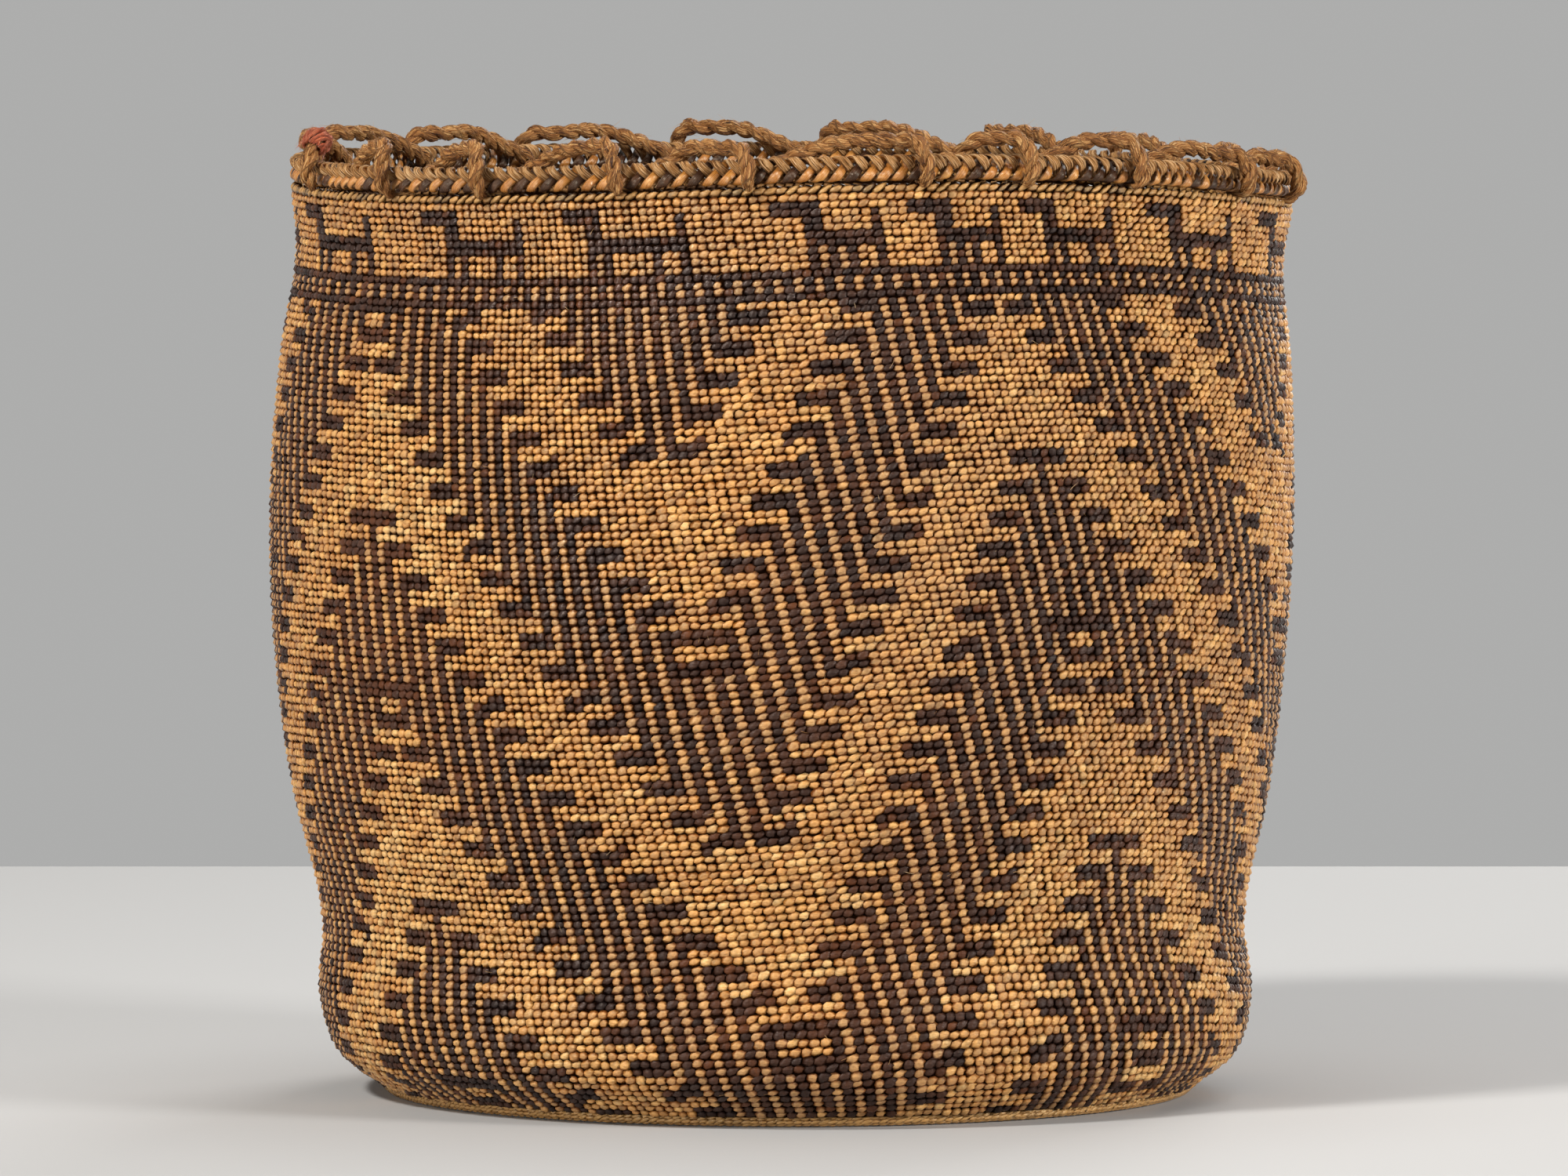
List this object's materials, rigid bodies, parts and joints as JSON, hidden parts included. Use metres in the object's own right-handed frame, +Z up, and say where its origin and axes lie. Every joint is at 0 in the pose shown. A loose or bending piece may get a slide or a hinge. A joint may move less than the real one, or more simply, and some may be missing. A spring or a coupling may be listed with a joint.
{
  "type": "storage basket",
  "caption": "Round twined storage basket with a flat bottom, a barrel-shaped wall, a plaited rim and a cord laced over it in loops.",
  "frame": {"origin": "middle of the flat bottom, on the surface that the basket stands on", "axes": "+Z up through the open mouth, -Y towards the front of the basket, +X to its right as seen from the front"},
  "size_m": [0.3373, 0.3396, 0.3179],
  "materials": {
    "base_disc": "twined plant fibre, matt",
    "heel_row": "twined plant fibre, matt",
    "wall": "twined plant fibre, golden and dark brown stitches, slightly glossy",
    "border_row": "slanting stitches of plant fibre, slightly glossy",
    "braid_strand_1": "flat bark strip, satin",
    "braid_strand_2": "flat dark bark strip, satin",
    "braid_strand_3": "flat bark strip, fibrous",
    "loop_cord": "twisted two-ply fibre cord, matt and fuzzy",
    "red_wool_binding": "faded red wool, matt"
  },
  "bodies": {
    "root": {"base_disc": "base_disc", "heel_row": "heel_row", "wall": "wall", "border_row": "border_row", "braid_strand_1": "braid_strand_1", "braid_strand_2": "braid_strand_2", "braid_strand_3": "braid_strand_3", "loop_cord": "loop_cord", "red_wool_binding": "red_wool_binding"}
  },
  "joints": []
}
